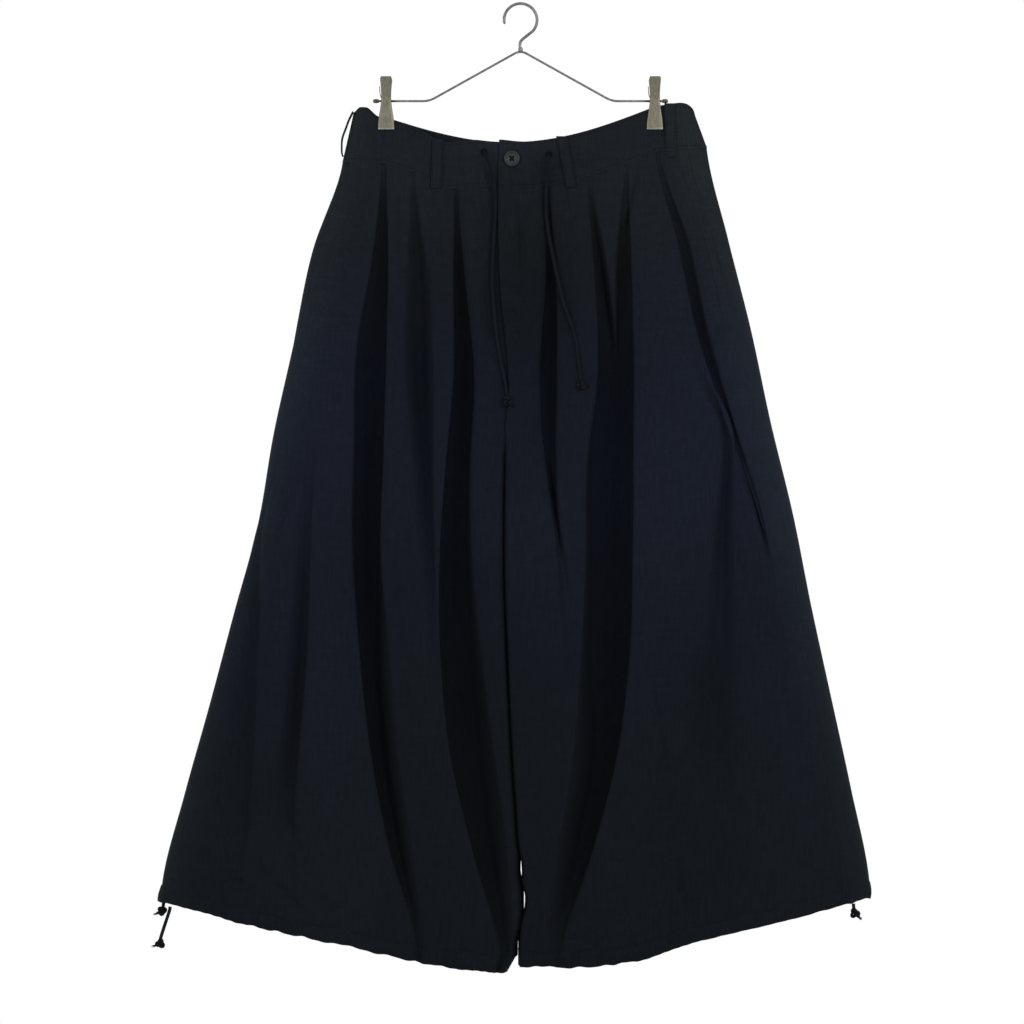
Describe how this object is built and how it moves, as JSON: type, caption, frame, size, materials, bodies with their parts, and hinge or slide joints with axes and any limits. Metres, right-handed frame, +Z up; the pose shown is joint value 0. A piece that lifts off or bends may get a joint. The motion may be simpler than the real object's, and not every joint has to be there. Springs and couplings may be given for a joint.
{
  "type": "wide-leg trousers on a clip hanger",
  "caption": "Very wide-leg pleated trousers with drawstring waist and hems, hanging flat from a wire hanger with spring clips.",
  "frame": {"origin": "top inside of the hanger's hook, where a rail carries it", "axes": "+Z up, -Y to the front of the garment, +X to the right as seen from the front"},
  "size_m": [0.8225, 0.1103, 1.1143],
  "materials": {
    "cloth": "near-black navy twill, matt with a faint sheen",
    "waistband": "the same cloth, doubled and topstitched",
    "cord": "round braided cotton cord, matt",
    "button": "dark grey, satin, with a raised rim",
    "hanger_wire": "plated wire, slightly dulled",
    "clip_metal": "antique brass plate, satin"
  },
  "bodies": {
    "root": {"front_left": "cloth", "back_left": "cloth", "hem_casing_front_left": "cloth", "hem_casing_back_left": "cloth", "pocket_edge_left": "cloth", "front_right": "cloth", "back_right": "cloth", "hem_casing_front_right": "cloth", "hem_casing_back_right": "cloth", "pocket_edge_right": "cloth", "waistband_front_right": "waistband", "waistband_back": "waistband", "waistband_front_left": "waistband", "belt_loop_front_left": "waistband", "belt_loop_front_right": "waistband", "belt_loop_side_left": "waistband", "belt_loop_side_right": "waistband", "belt_loop_back": "waistband", "button": "button", "eyelet_left": "cord", "eyelet_right": "cord", "waist_cord_left": "cord", "waist_cord_right": "cord", "hem_cord_left": "cord", "waist_cord_left_knot": "cord", "waist_cord_right_knot": "cord", "hem_cord_left_knot": "cord", "hem_knot_left": "cord", "hem_knot_right": "cord", "hanger_wire": "hanger_wire", "hanger_hook": "hanger_wire", "hanger_tip_left": "clip_metal", "hanger_tip_right": "clip_metal", "clip_left_front_jaw": "clip_metal", "clip_left_back_jaw": "clip_metal", "clip_left_spring": "hanger_wire", "clip_right_front_jaw": "clip_metal", "clip_right_back_jaw": "clip_metal", "clip_right_spring": "hanger_wire"}
  },
  "joints": []
}
